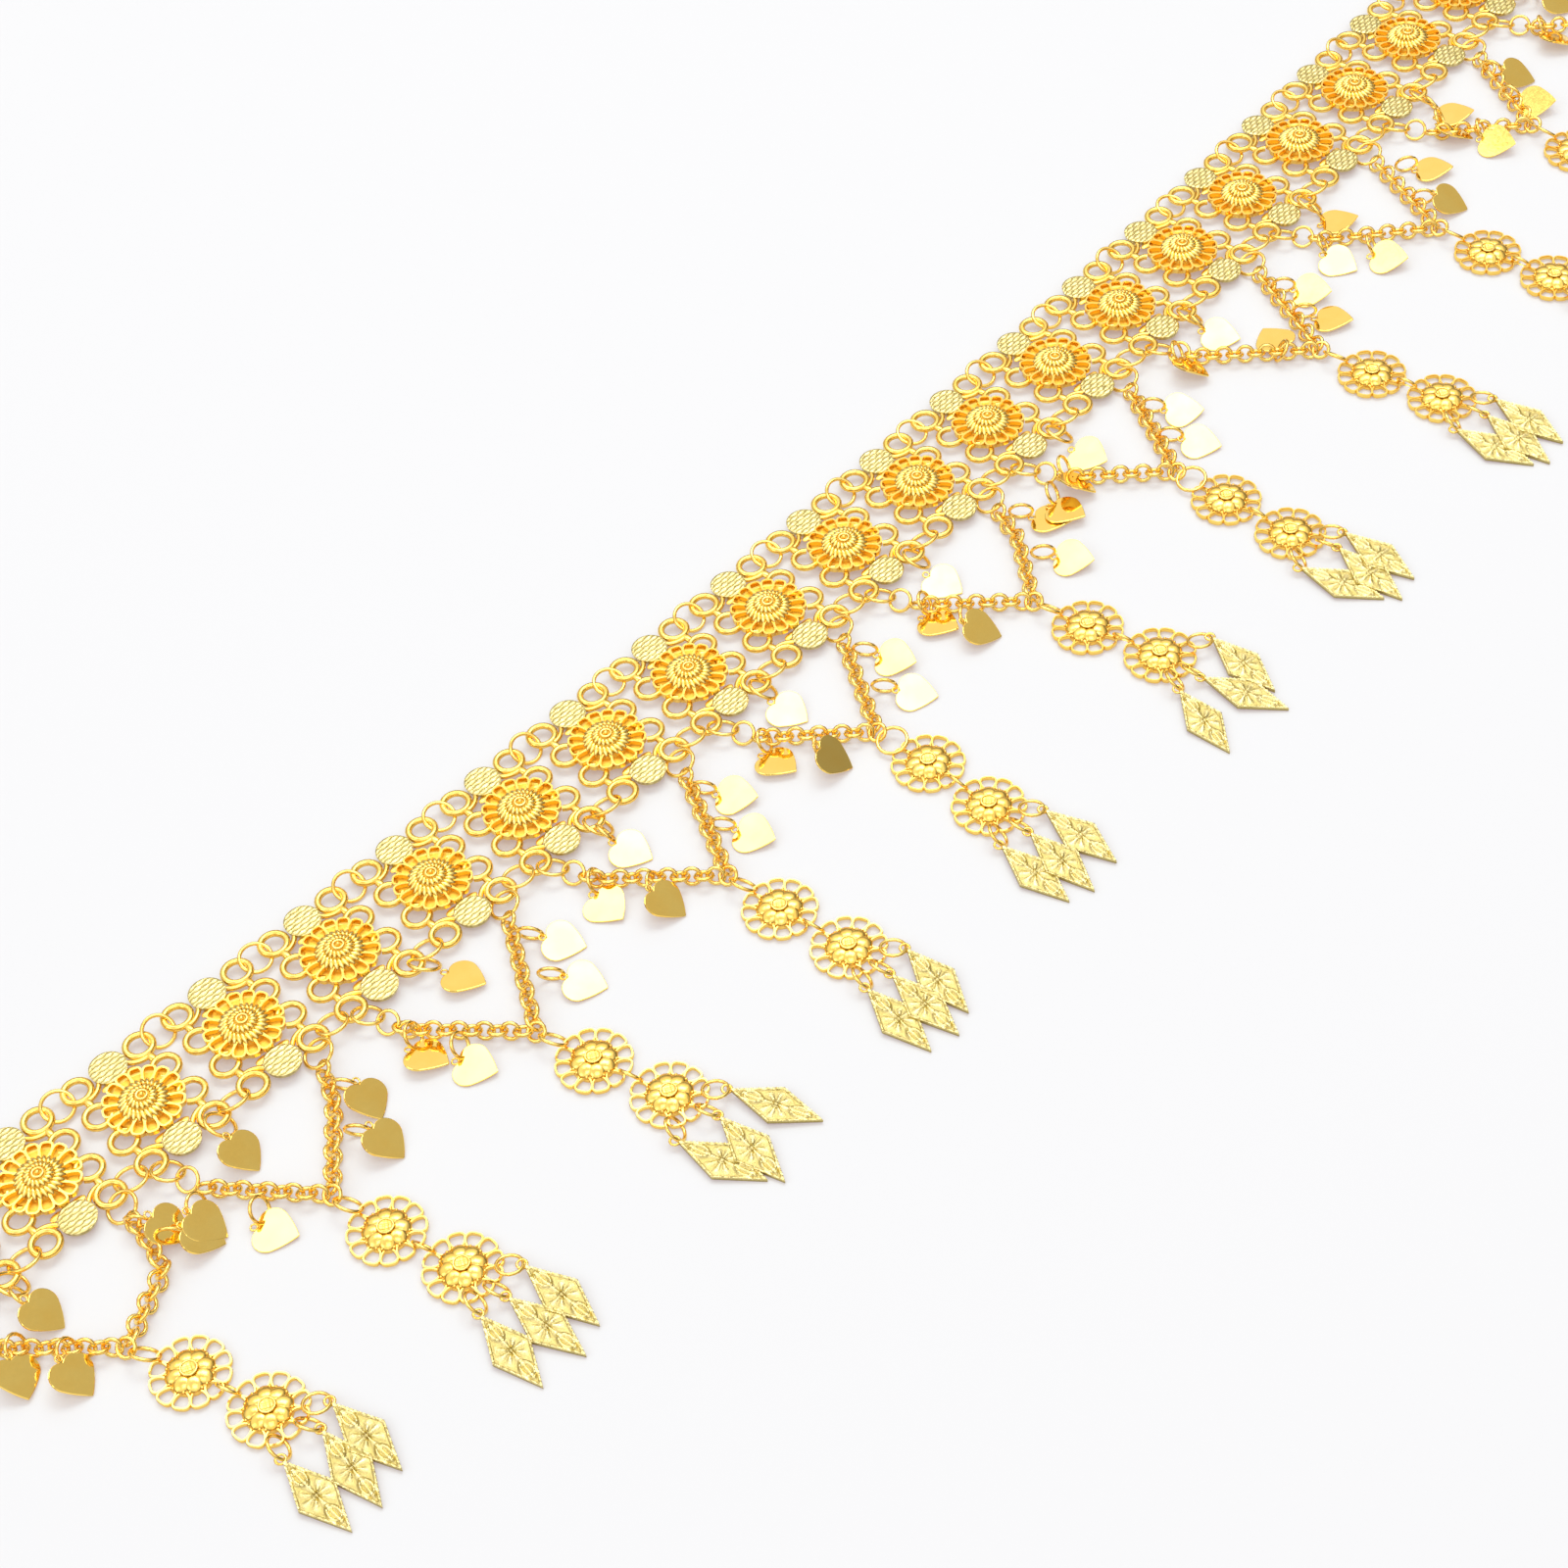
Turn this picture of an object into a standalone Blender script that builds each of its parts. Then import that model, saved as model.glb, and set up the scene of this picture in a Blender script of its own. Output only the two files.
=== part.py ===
# Tassel waist chain, laid flat.
# A row of pierced plaques is joined at its corners by jump rings. Every two plaques carry a
# swag of chain with small hearts, and a tassel of two flowers and three drops hangs from it.
# Metres, +Z up. The belt runs along +X on a gentle arc and the tassels point to -Y.

import math

import bmesh
import bpy
from mathutils import Matrix, Vector

MM = 0.001

# Belt layout
UNIT_COUNT = 11
PITCH = 24.0 * MM            # plaque to plaque
BELT_RADIUS = 3125.0 * MM    # radius of the arc that the plaque centres lie on
BOX_CENTRE_X = 15.5 * MM     # middle of the whole part's box, from the middle of the belt
BOX_CENTRE_Y = -38.45 * MM

# Plaque
EYELET_S = 7.6 * MM          # corner eyelet centre, along and across the belt
EYELET_V = 11.6 * MM
EYELET_HOLE = 2.15 * MM
HOLE_POINTS = 5
PLATE_THICK = 0.7 * MM
ROSETTE_RADIUS = 7.7 * MM    # ring of petals
ROSETTE_STEPS = 10
ROSETTE_RISE = 1.3 * MM      # rosette above the plate's top
DOME_RADIUS = 4.5 * MM
DOME_RISE = 3.0 * MM         # dome tip above the plate's top

# Jump rings
RING_RADIUS = 3.0 * MM       # centre line of the large rings
RING_WIRE = 0.35 * MM        # wire radius
RING_RISE = 1.5 * MM         # the ring passes this far over and under a plate
RING_STEEP = 4.0
RING_STEPS = 7
HANG_STEPS = 7
LINK_RING_S = 12.85 * MM     # linking ring, from its plaque's centre
HANG_OFFSET = 0.4 * MM       # a hanging ring crosses an eyelet this far from its centre
GAP = 0.3 * MM               # clear space between pieces of different nodes

# Swag chain, hearts, flowers and drops
CHAIN_RADIUS = 1.75 * MM
CHAIN_NARROW = 0.62          # an upright link shows this share of a flat link's width
LEG_STEPS = 5                # narrows and bulges on one leg
HEART_WIDTH = 9.4 * MM
HEART_LENGTH = 8.6 * MM
HEART_THICK = 0.45 * MM
HEART_LEAN = 10.5            # degrees, from the chain down to the floor
TAB_WIDTH = 1.0 * MM         # a small jump ring, seen on edge
DROP_TAB = 5.5 * MM          # length of that ring at a drop
RING_BITE = 0.5 * MM         # an inside heart's ring reaches this far over its hanging ring
FLOWER_RADIUS = 7.6 * MM
FLOWER_WALL = 1.6 * MM       # height of the rim
FLOWER_STEPS = 10
CROWN_RADIUS = 3.7 * MM
CROWN_TOP = 2.9 * MM
CROWN_DIP = 2.2 * MM         # height of the crown's sunken middle
DROP_LENGTH = 18.8 * MM
DROP_WIDTH = 8.2 * MM
DROP_THICK = 0.6 * MM
DROP_LOW = 0.05 * MM
STRIP_BITE = 1.0 * MM        # the ring between two flowers reaches this far into each
FLOWER_ARM = 13.0 * MM       # vee to first flower
FLOWER_SPAN = 16.9 * MM      # first flower to second
DROP_ARM = 11.3 * MM         # second flower to a drop's eye

# Belt ends
BRIDLE_REACH = 34.0 * MM     # end plaque's centre to where its two chains meet
BRIDLE_STEPS = 4
TAIL_LENGTH = 42.0 * MM      # the ring end's tail is twice as long, to fit several waists
TAIL_STEPS = 4
HOOK_LENGTH = 14.6 * MM
HOOK_BEND = 2.4 * MM
HOOK_TIP = 5.4 * MM          # length of the tip that comes back beside the shank
HOOK_WIRE = 0.7 * MM         # wire radius

# Heights: the lowest wire of a large ring rests on the floor
PLATE_MID = RING_RISE + RING_WIRE
PLATE_LOW = PLATE_MID - PLATE_THICK / 2
PLATE_TOP = PLATE_MID + PLATE_THICK / 2
STRIP_LOW = 0.3 * MM

# Mesh clean-up
WELD = 1e-6
FLAT_ANGLE = math.radians(0.5)
SHARP_ANGLE = math.radians(35)

# A quarter of a plaque's outline, from its right side to its top: arcs, mm and degrees
PLAQUE_ARCS = [
    # centre along, centre across, radius, start, end, points
    (7.9, 4.0, 3.0, -35, 40, 2),       # open side lobe
    (7.6, 11.6, 2.95, -20, 190, 4),    # corner eyelet
    (0.0, 11.86, 3.8, 8, 62, 2),       # textured disc
]

# Half of a heart's outline, as shares of its half width and of its length from the eye
HEART_SIDE = [
    # share of the half width, share of the length
    (0.9, 0.15),
    (0.8, 0.65),
]

# How each unit lies: the vee, from the unit's middle (along, across, mm); the swing of the two
# flower arms; where the three drops leave the lower flower, and how they point. Degrees, from
# straight across the belt, positive towards +s.
UNIT_ROWS = [
    # vee along, vee across, arm 1, arm 2, drops leave at, drops point to
    (2.2, -41.0, 24, 18, (-24, 20, 48), (1, -5, 2)),
    (-0.7, -42.7, 10, 15, (-24, 6, 42), (-5, 6, 4)),
    (0.7, -43.1, 14, 14, (-36, 12, 44), (17, -5, 22)),
    (2.9, -43.8, 5, 6, (-29, 0, 34), (-7, -5, -9)),
    (0.7, -41.0, 4, -3, (-37, -4, 29), (-5, -8, -2)),
    (0.0, -42.4, 8, 10, (-32, -2, 58), (-20, 14, -10)),
    (0.4, -42.4, 1, -1, (-44, 8, 32), (12, -11, -5)),
    (2.0, -45.0, 4, 7, (-42, 0, 28), (4, -12, -7)),
    (3.7, -43.8, -1, 2, (-30, 2, 36), (0, -6, 3)),
    (-0.6, -42.1, -8, 3, (-28, 4, 38), (-4, 2, 6)),
    (1.5, -42.6, 6, 9, (-34, 6, 40), (3, -5, 4)),
]

# How each unit's hearts lie: the eye, from the unit's middle (along, across, mm), and the swing
UNIT_HEARTS = [
    # inside the vee, upper left leg, lower left leg, upper right leg, lower right leg
    ((-5.3, -20.6, 24), (-13.9, -27.8, -5), (-8.0, -35.2, 13), (17.6, -21.5, 30), (15.6, -30.0, 38)),
    ((-6.5, -18.8, 10), (-22.1, -26.6, 25), (-14.8, -35.8, 29), (18.3, -26.7, -1), (13.3, -37.0, 12)),
    ((-1.0, -17.9, 21), (-18.0, -27.2, 20), (-13.6, -35.2, 22), (17.2, -26.3, 29), (13.4, -36.4, 27)),
    ((-5.6, -19.7, 16), (-17.2, -25.9, -3), (-10.4, -35.1, 14), (17.4, -26.1, 29), (13.0, -35.2, 18)),
    ((-6.1, -18.2, 6), (-17.8, -26.0, 6), (-12.0, -36.0, 30), (17.8, -25.5, 18), (12.4, -35.3, 29)),
    ((-7.1, -18.8, 6), (-16.8, -25.9, 12), (-14.3, -35.5, 26), (18.4, -26.0, 26), (13.9, -36.1, 22)),
    ((-6.4, -19.2, 4), (-20.4, -26.4, 8), (-12.4, -35.0, 12), (15.4, -27.6, 35), (10.4, -36.4, 20)),
    ((-7.0, -19.3, 18), (-17.6, -25.0, 8), (-11.4, -36.4, 16), (16.7, -27.3, 19), (12.4, -37.0, 16)),
    ((-7.2, -19.3, 36), (-18.6, -26.7, 5), (-12.6, -35.5, 22), (19.4, -27.2, 30), (11.8, -36.7, 20)),
    ((-7.0, -20.3, 29), (-17.0, -25.0, 10), (-11.4, -34.6, 14), (14.2, -25.8, 24), (8.4, -34.9, 26)),
    ((-4.7, -19.3, 18), (-16.8, -26.0, 0), (-11.2, -35.2, 16), (17.4, -26.4, 24), (13.2, -36.0, 20)),
]
HEART_LEGS = ("left", "left", "right", "right")

# Polished gold plate: each kind of piece, its colour and its roughness
FINISHES = {
    "plaque": ((0.93, 0.66, 0.22), 0.24),
    "charm": ((0.96, 0.76, 0.36), 0.12),
    "swag": ((0.92, 0.66, 0.24), 0.18),
    "tassel": ((0.95, 0.73, 0.33), 0.20),
    "end": ((0.90, 0.63, 0.22), 0.20),
}


def remove_everything():
    for item in list(bpy.data.objects):
        bpy.data.objects.remove(item, do_unlink=True)


def new_collection(name):
    collection = bpy.data.collections.new(name)
    bpy.context.scene.collection.children.link(collection)
    return collection


def swing_direction(degrees):
    angle = math.radians(degrees)
    return Vector((math.sin(angle), -math.cos(angle)))


def belt_place(along, across, height=0.0, turn=0.0):
    theta = along / BELT_RADIUS
    reach = BELT_RADIUS - across
    x = reach * math.sin(theta) - BOX_CENTRE_X
    y = BELT_RADIUS - reach * math.cos(theta) - BOX_CENTRE_Y
    return Matrix.Translation((x, y, height)) @ Matrix.Rotation(theta + math.radians(turn), 4, "Z")


def mesh_of(item):
    # The evaluated mesh of a helper object, with its loose caps welded; the helper is removed
    bpy.context.view_layer.update()
    graph = bpy.context.evaluated_depsgraph_get()
    mesh = bpy.data.meshes.new_from_object(item.evaluated_get(graph))
    mesh.transform(item.matrix_world)
    bpy.data.objects.remove(item, do_unlink=True)
    shape = bmesh.new()
    shape.from_mesh(mesh)
    bmesh.ops.remove_doubles(shape, verts=shape.verts, dist=WELD)
    bmesh.ops.dissolve_limit(
        shape, angle_limit=FLAT_ANGLE, verts=shape.verts, edges=shape.edges, delimit={"NORMAL"}
    )
    bmesh.ops.recalc_face_normals(shape, faces=shape.faces)
    shape.to_mesh(mesh)
    shape.free()
    return mesh


def add_helper(data):
    item = bpy.data.objects.new("helper", data)
    helpers.objects.link(item)
    return item


def plate(outlines, low, high):
    curve = bpy.data.curves.new("outline", "CURVE")
    curve.dimensions = "2D"
    curve.fill_mode = "BOTH"
    curve.extrude = (high - low) / 2
    for outline in outlines:
        spline = curve.splines.new("POLY")
        spline.points.add(len(outline) - 1)
        spline.use_cyclic_u = True
        for point, place in zip(spline.points, outline):
            point.co = (place[0], place[1], 0, 1)
    item = add_helper(curve)
    item.location.z = (low + high) / 2
    return mesh_of(item)


def turned(profile, steps):
    # The profile runs from the axis, down the outer side and back to the axis
    mesh = bpy.data.meshes.new("profile")
    points = [(radius, 0, height) for radius, height in profile]
    mesh.from_pydata(points, [(i, i + 1) for i in range(len(points) - 1)], [])
    item = add_helper(mesh)
    screw = item.modifiers.new("turn", "SCREW")
    screw.steps = steps
    screw.render_steps = steps
    screw.use_merge_vertices = True
    screw.merge_threshold = WELD
    return mesh_of(item)


def wire_ring(radius, wire, steps, rise=0.0, side=1):
    # With a rise, the ring goes over a plate on one side and under it on the other, and
    # crosses the plate where it meets the X axis
    bpy.ops.mesh.primitive_torus_add(
        major_segments=steps, minor_segments=3, major_radius=radius, minor_radius=wire
    )
    item = bpy.context.object
    mesh = item.data.copy()
    bpy.data.objects.remove(item, do_unlink=True)
    for vertex in mesh.vertices:
        angle = math.atan2(vertex.co.y, vertex.co.x)
        vertex.co.z += side * rise * math.tanh(RING_STEEP * math.sin(angle))
    return mesh


def rod(places, radius, shares):
    # A four-sided rod through the places, with a share of the radius at each
    curve = bpy.data.curves.new("rod", "CURVE")
    curve.dimensions = "3D"
    curve.bevel_depth = radius
    curve.bevel_resolution = 0
    curve.use_fill_caps = True
    spline = curve.splines.new("POLY")
    spline.points.add(len(places) - 1)
    for point, place, share in zip(spline.points, places, shares):
        point.co = (place[0], place[1], place[2], 1)
        point.radius = share
    return mesh_of(add_helper(curve))


def chain_run(stops, steps):
    # Through the stops, with bulges for the flat links and narrows for the upright ones
    places = [stops[0]]
    for start, end in zip(stops, stops[1:]):
        places += [start.lerp(end, (index + 1) / steps) for index in range(steps)]
    shares = [1.0 if index % 2 == 0 else CHAIN_NARROW for index in range(len(places))]
    return rod(places, CHAIN_RADIUS, shares)


def fuse(name, pieces):
    # One closed body from overlapping pieces
    operands = new_collection("operands")
    for mesh in pieces[1:]:
        operands.objects.link(bpy.data.objects.new("operand", mesh))
    item = add_helper(pieces[0])
    union = item.modifiers.new("union", "BOOLEAN")
    union.operation = "UNION"
    union.solver = "EXACT"
    union.operand_type = "COLLECTION"
    union.collection = operands
    mesh = mesh_of(item)
    mesh.name = name
    mesh.shade_smooth()
    mesh.set_sharp_from_angle(angle=SHARP_ANGLE)
    for operand in list(operands.objects):
        bpy.data.objects.remove(operand, do_unlink=True)
    bpy.data.collections.remove(operands)
    return mesh


def placed(mesh, matrix):
    copy = mesh.copy()
    copy.transform(matrix)
    return copy


def arc(centre_x, centre_y, radius, start, end, count):
    points = []
    for index in range(count):
        angle = math.radians(start + (end - start) * index / (count - 1))
        points.append((centre_x + radius * math.cos(angle), centre_y + radius * math.sin(angle)))
    return points


def mirrored(points, sign_x, sign_y):
    flipped = [(x * sign_x, y * sign_y) for x, y in points]
    return flipped if sign_x * sign_y > 0 else flipped[::-1]


def plaque_outline():
    quarter = []
    for along, across, radius, start, end, count in PLAQUE_ARCS:
        quarter += arc(along * MM, across * MM, radius * MM, start, end, count)
    outline = []
    for sign_x, sign_y in ((1, 1), (-1, 1), (-1, -1), (1, -1)):
        outline += mirrored(quarter, sign_x, sign_y)
    return outline


def plaque_holes():
    # A corner of each hole points away from the belt's middle line, where a hanging ring passes
    holes = []
    sweep = 360 - 360 / HOLE_POINTS
    for sign_x in (1, -1):
        for sign_y in (1, -1):
            centre = (EYELET_S * sign_x, EYELET_V * sign_y)
            first = 90 * sign_y
            holes.append(arc(*centre, EYELET_HOLE, first, first + sweep, HOLE_POINTS))
    return holes


def make_plaque():
    frame = plate([plaque_outline()] + plaque_holes(), PLATE_LOW, PLATE_TOP)
    rosette = turned(
        [
            (0.0, PLATE_TOP + DOME_RISE),
            (DOME_RADIUS, PLATE_TOP + ROSETTE_RISE),
            (ROSETTE_RADIUS, PLATE_TOP + ROSETTE_RISE),
            (ROSETTE_RADIUS, PLATE_MID),
            (0.0, PLATE_MID),
        ],
        ROSETTE_STEPS,
    )
    pieces = [frame, rosette]
    ring = wire_ring(RING_RADIUS, RING_WIRE, RING_STEPS, RING_RISE)
    for sign in (1, -1):
        centre = Matrix.Translation((LINK_RING_S, EYELET_V * sign, PLATE_MID))
        pieces.append(placed(ring, centre))
    return fuse("plaque", pieces)


def make_heart(tab):
    # The eye is at the origin, the point of the heart lies towards -Y and the tab is its ring
    side = [(TAB_WIDTH / 2, 0.0)]
    side += [(HEART_WIDTH / 2 * across, -HEART_LENGTH * down) for across, down in HEART_SIDE]
    outline = [(0.0, -HEART_LENGTH)] + side[::-1]
    for sign in (1, -1):
        corner = tab + sign * Vector((tab.y, -tab.x)).normalized() * TAB_WIDTH / 2
        outline.append((corner.x, corner.y))
    outline += [(-x, y) for x, y in side]
    return plate([outline], -HEART_THICK / 2, HEART_THICK / 2)


def make_flower():
    profile = [
        (0.0, CROWN_DIP),
        (CROWN_RADIUS, CROWN_TOP),
        (FLOWER_RADIUS, FLOWER_WALL),
        (FLOWER_RADIUS, 0.0),
        (0.0, 0.0),
    ]
    return turned(profile, FLOWER_STEPS)


def make_drop():
    # The eye is at the origin and the tip lies towards -Y
    half = DROP_WIDTH / 2
    outline = [
        (-TAB_WIDTH / 2, DROP_TAB),
        (-TAB_WIDTH / 2, -TAB_WIDTH),
        (-half, -DROP_LENGTH / 2),
        (0.0, -DROP_LENGTH),
        (half, -DROP_LENGTH / 2),
        (TAB_WIDTH / 2, -TAB_WIDTH),
        (TAB_WIDTH / 2, DROP_TAB),
    ]
    return plate([outline], DROP_LOW, DROP_LOW + DROP_THICK)


def at_height(spot, height):
    return Vector((spot.x, spot.y, height))


def unit_middle(unit):
    return (2 * unit - (UNIT_COUNT - 1)) * PITCH


def hanging_ring(place, eyelet, direction, side):
    # Crosses the eyelet near its centre and hangs from it along the direction; also gives the
    # ring's far end
    ring = wire_ring(RING_RADIUS, RING_WIRE, HANG_STEPS, RING_RISE, side)
    centre = eyelet + direction * (RING_RADIUS + HANG_OFFSET)
    turn = Matrix.Rotation(math.atan2(-direction.y, -direction.x), 4, "Z")
    local = Matrix.Translation((centre.x, centre.y, PLATE_MID)) @ turn
    return placed(ring, place @ local), centre + direction * RING_RADIUS


def link_strip(place, start, end):
    # A small jump ring seen on edge, between two points
    along = (end - start).normalized()
    side = Vector((-along.y, along.x)) * TAB_WIDTH / 2
    outline = [start - side, end - side, end + side, start + side]
    return placed(plate([outline], STRIP_LOW, STRIP_LOW + TAB_WIDTH), place)


def heart_at(place, eye, foot, swing):
    # Leans from its jump ring, which is at the chain's height, down to the floor
    lean = math.radians(HEART_LEAN)
    height = HEART_LENGTH * math.sin(lean) + HEART_THICK / 2
    local = Matrix.Translation((eye.x, eye.y, height))
    local = local @ Matrix.Rotation(math.radians(swing), 4, "Z") @ Matrix.Rotation(lean, 4, "X")
    tab = Matrix.Rotation(math.radians(-swing), 2) @ (foot - eye)
    return placed(make_heart(tab), place @ local)


def make_charm(unit):
    place = belt_place(unit_middle(unit), 0)
    eyelet = Vector((-PITCH / 2 + EYELET_S, -EYELET_V))
    along, across, swing = UNIT_HEARTS[unit][0]
    eye = Vector((along, across)) * MM
    direction = (eye - eyelet).normalized()
    ring, end = hanging_ring(place, eyelet, direction, -1)
    foot = end - direction * RING_BITE
    return fuse("charm", [ring, heart_at(place, eye, foot, swing)])


def make_swag(unit):
    place = belt_place(unit_middle(unit), 0)
    row = UNIT_ROWS[unit]
    vee = Vector(row[:2]) * MM
    rings = []
    starts = []
    legs = {}
    for leg, sign in (("left", -1), ("right", 1)):
        eyelet = Vector((sign * (PITCH / 2 + EYELET_S), -EYELET_V))
        direction = (vee - eyelet).normalized()
        ring, start = hanging_ring(place, eyelet, direction, -sign)
        rings.append(ring)
        starts.append(start)
        legs[leg] = (eyelet, direction)
    stops = [at_height(spot, CHAIN_RADIUS) for spot in (starts[0], vee, starts[1])]
    pieces = [placed(chain_run(stops, LEG_STEPS), place)] + rings
    for leg, (along, across, swing) in zip(HEART_LEGS, UNIT_HEARTS[unit][1:]):
        eye = Vector((along, across)) * MM
        eyelet, direction = legs[leg]
        foot = eyelet + direction * (eye - eyelet).dot(direction)
        pieces.append(heart_at(place, eye, foot, swing))
    arm = swing_direction(row[2])
    end = vee + arm * (FLOWER_ARM - FLOWER_RADIUS - GAP)
    pieces.append(link_strip(place, vee, end))
    return fuse("swag", pieces)


def make_tassel(unit, flower, drop):
    place = belt_place(unit_middle(unit), 0)
    row = UNIT_ROWS[unit]
    vee = Vector(row[:2]) * MM
    first = vee + swing_direction(row[2]) * FLOWER_ARM
    second = first + swing_direction(row[3]) * FLOWER_SPAN
    pieces = []
    for centre, swing in ((first, row[2]), (second, row[3])):
        local = Matrix.Translation((centre.x, centre.y, 0))
        local = local @ Matrix.Rotation(math.radians(swing), 4, "Z")
        pieces.append(placed(flower, place @ local))
    span = (second - first).normalized() * (FLOWER_RADIUS - STRIP_BITE)
    pieces.append(link_strip(place, first + span, second - span))
    for leave, point in zip(row[4], row[5]):
        eye = second + swing_direction(leave) * DROP_ARM
        local = Matrix.Translation((eye.x, eye.y, 0))
        local = local @ Matrix.Rotation(math.radians(point), 4, "Z")
        pieces.append(placed(drop, place @ local))
    return fuse("tassel", pieces)


def bridle(sign):
    # Two chains from the end plaque's corners, or from its rings, that meet on the middle line
    place = belt_place(sign * (UNIT_COUNT - 0.5) * PITCH, 0)
    vee = Vector((sign * BRIDLE_REACH, 0, CHAIN_RADIUS))
    return place, vee


def make_hook_end():
    place, vee = bridle(-1)
    rings = []
    stops = []
    for sign in (1, -1):
        eyelet = Vector((-EYELET_S, sign * EYELET_V))
        direction = (vee.to_2d() - eyelet).normalized()
        ring, start = hanging_ring(place, eyelet, direction, 1)
        rings.append(ring)
        stops.append(at_height(start, CHAIN_RADIUS))
    pieces = [placed(chain_run([stops[0], vee, stops[1]], BRIDLE_STEPS), place)] + rings
    tail = vee - Vector((TAIL_LENGTH, 0, 0))
    pieces.append(placed(chain_run([vee, tail], TAIL_STEPS), place))
    pieces.append(placed(make_hook(), place @ Matrix.Translation(tail)))
    return fuse("hook_end", pieces)


def make_hook():
    # One wire, bent over at its end; its shank starts inside the chain's last link
    places = [(2 * HOOK_WIRE, 0.0), (-HOOK_LENGTH, 0.0)]
    places += arc(-HOOK_LENGTH, HOOK_BEND, HOOK_BEND, 240, 90, 3)
    places.append((-HOOK_LENGTH + HOOK_TIP, 2 * HOOK_BEND))
    return rod([(x, y, 0.0) for x, y in places], HOOK_WIRE, [1.0] * len(places))


def make_ring_end():
    place, vee = bridle(1)
    rings = []
    stops = []
    for sign in (1, -1):
        centre = Vector((LINK_RING_S, sign * EYELET_V))
        direction = (vee.to_2d() - centre).normalized()
        ring, start = hanging_ring(place, centre + direction * HANG_OFFSET, direction, 1)
        rings.append(ring)
        stops.append(at_height(start, CHAIN_RADIUS))
    pieces = [placed(chain_run([stops[0], vee, stops[1]], BRIDLE_STEPS), place)] + rings
    tail = vee + Vector((2 * TAIL_LENGTH, 0, 0))
    pieces.append(placed(chain_run([vee, tail], 2 * TAIL_STEPS), place))
    ring = wire_ring(RING_RADIUS, RING_WIRE, RING_STEPS)
    local = Matrix.Translation(tail + Vector((RING_RADIUS, 0, 0)))
    pieces.append(placed(ring, place @ local))
    return fuse("ring_end", pieces)


def gold(name, finish):
    colour, roughness = FINISHES[finish]
    material = bpy.data.materials.new(name + "_gold")
    material.use_nodes = True
    shader = material.node_tree.nodes["Principled BSDF"]
    shader.inputs["Base Color"].default_value = (*colour, 1.0)
    shader.inputs["Metallic"].default_value = 1.0
    shader.inputs["Roughness"].default_value = roughness
    return material


def add_node(name, finish, mesh, matrix=None):
    # A mesh can be shared, so the material is the object's own
    item = bpy.data.objects.new(name, mesh)
    belt.objects.link(item)
    if matrix is not None:
        item.matrix_world = matrix
    if not mesh.materials:
        mesh.materials.append(None)
    item.material_slots[0].link = "OBJECT"
    item.material_slots[0].material = gold(name, finish)


def build():
    plaque = make_plaque()
    for index in range(2 * UNIT_COUNT):
        along = (index - UNIT_COUNT + 0.5) * PITCH
        add_node(f"plaque_{index + 1:02d}", "plaque", plaque, belt_place(along, 0))
    flower = make_flower()
    drop = make_drop()
    for unit in range(UNIT_COUNT):
        number = f"{unit + 1:02d}"
        add_node("charm_" + number, "charm", make_charm(unit))
        add_node("swag_" + number, "swag", make_swag(unit))
        add_node("tassel_" + number, "tassel", make_tassel(unit, flower, drop))
    add_node("hook_end", "end", make_hook_end())
    add_node("ring_end", "end", make_ring_end())


remove_everything()
helpers = new_collection("helpers")
belt = new_collection("tassel_waist_chain")
build()
for helper in list(helpers.objects):
    bpy.data.objects.remove(helper, do_unlink=True)
bpy.data.collections.remove(helpers)
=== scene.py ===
import math

import bmesh
import bpy
from mathutils import Matrix, Vector


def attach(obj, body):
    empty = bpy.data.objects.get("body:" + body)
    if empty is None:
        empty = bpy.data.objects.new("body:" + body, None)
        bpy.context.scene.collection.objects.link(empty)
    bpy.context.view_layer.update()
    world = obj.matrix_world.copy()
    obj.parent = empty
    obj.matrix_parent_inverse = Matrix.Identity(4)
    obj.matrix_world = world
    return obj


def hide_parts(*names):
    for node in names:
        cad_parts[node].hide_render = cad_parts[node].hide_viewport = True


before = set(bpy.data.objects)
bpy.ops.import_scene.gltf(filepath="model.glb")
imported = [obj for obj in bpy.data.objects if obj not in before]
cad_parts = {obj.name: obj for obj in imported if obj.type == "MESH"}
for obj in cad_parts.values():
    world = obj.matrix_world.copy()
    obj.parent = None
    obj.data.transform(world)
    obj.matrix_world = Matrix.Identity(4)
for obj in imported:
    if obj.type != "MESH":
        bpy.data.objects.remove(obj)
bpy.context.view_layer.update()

# Tassel waist chain, laid flat. Everything is modelled in millimetres and scaled once, at the end.
metre = 0.001

belt = {
    "units": 11,                     # one swag and one tassel to every two plaques
    "pitch": 24.0,                   # plaque to plaque
    "arcRadius": 3125.0,             # the plaque centres lie on this arc
    "boxCentre": (15.5, -38.45),     # middle of the belt's box, from the middle of the arc
    "plateMid": 1.85,                # middle height of the plaques' wires
}

view = {                             # place in metres, turns in degrees, lens and sensor in mm
    "place": (-0.3699, -0.3106, 0.4830),
    "yaw": 42.17,
    "down": 48.63,
    "roll": -7.38,
    "focal": 73.3,
    "sensor": 36.0,
    "clip": 0.01,
}


# Placing

def beltPlace(along, across=0.0, height=0.0, turn=0.0):
    theta = along / belt["arcRadius"]
    reach = belt["arcRadius"] - across
    x = reach * math.sin(theta) - belt["boxCentre"][0]
    y = belt["arcRadius"] - reach * math.cos(theta) - belt["boxCentre"][1]
    return shift(x, y, height) @ turnZ(math.degrees(theta) + turn)


def shift(x, y=0.0, z=0.0):
    return Matrix.Translation((x, y, z))


def turnX(degrees):
    return Matrix.Rotation(math.radians(degrees), 4, "X")


def turnY(degrees):
    return Matrix.Rotation(math.radians(degrees), 4, "Y")


def turnZ(degrees):
    return Matrix.Rotation(math.radians(degrees), 4, "Z")


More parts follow.
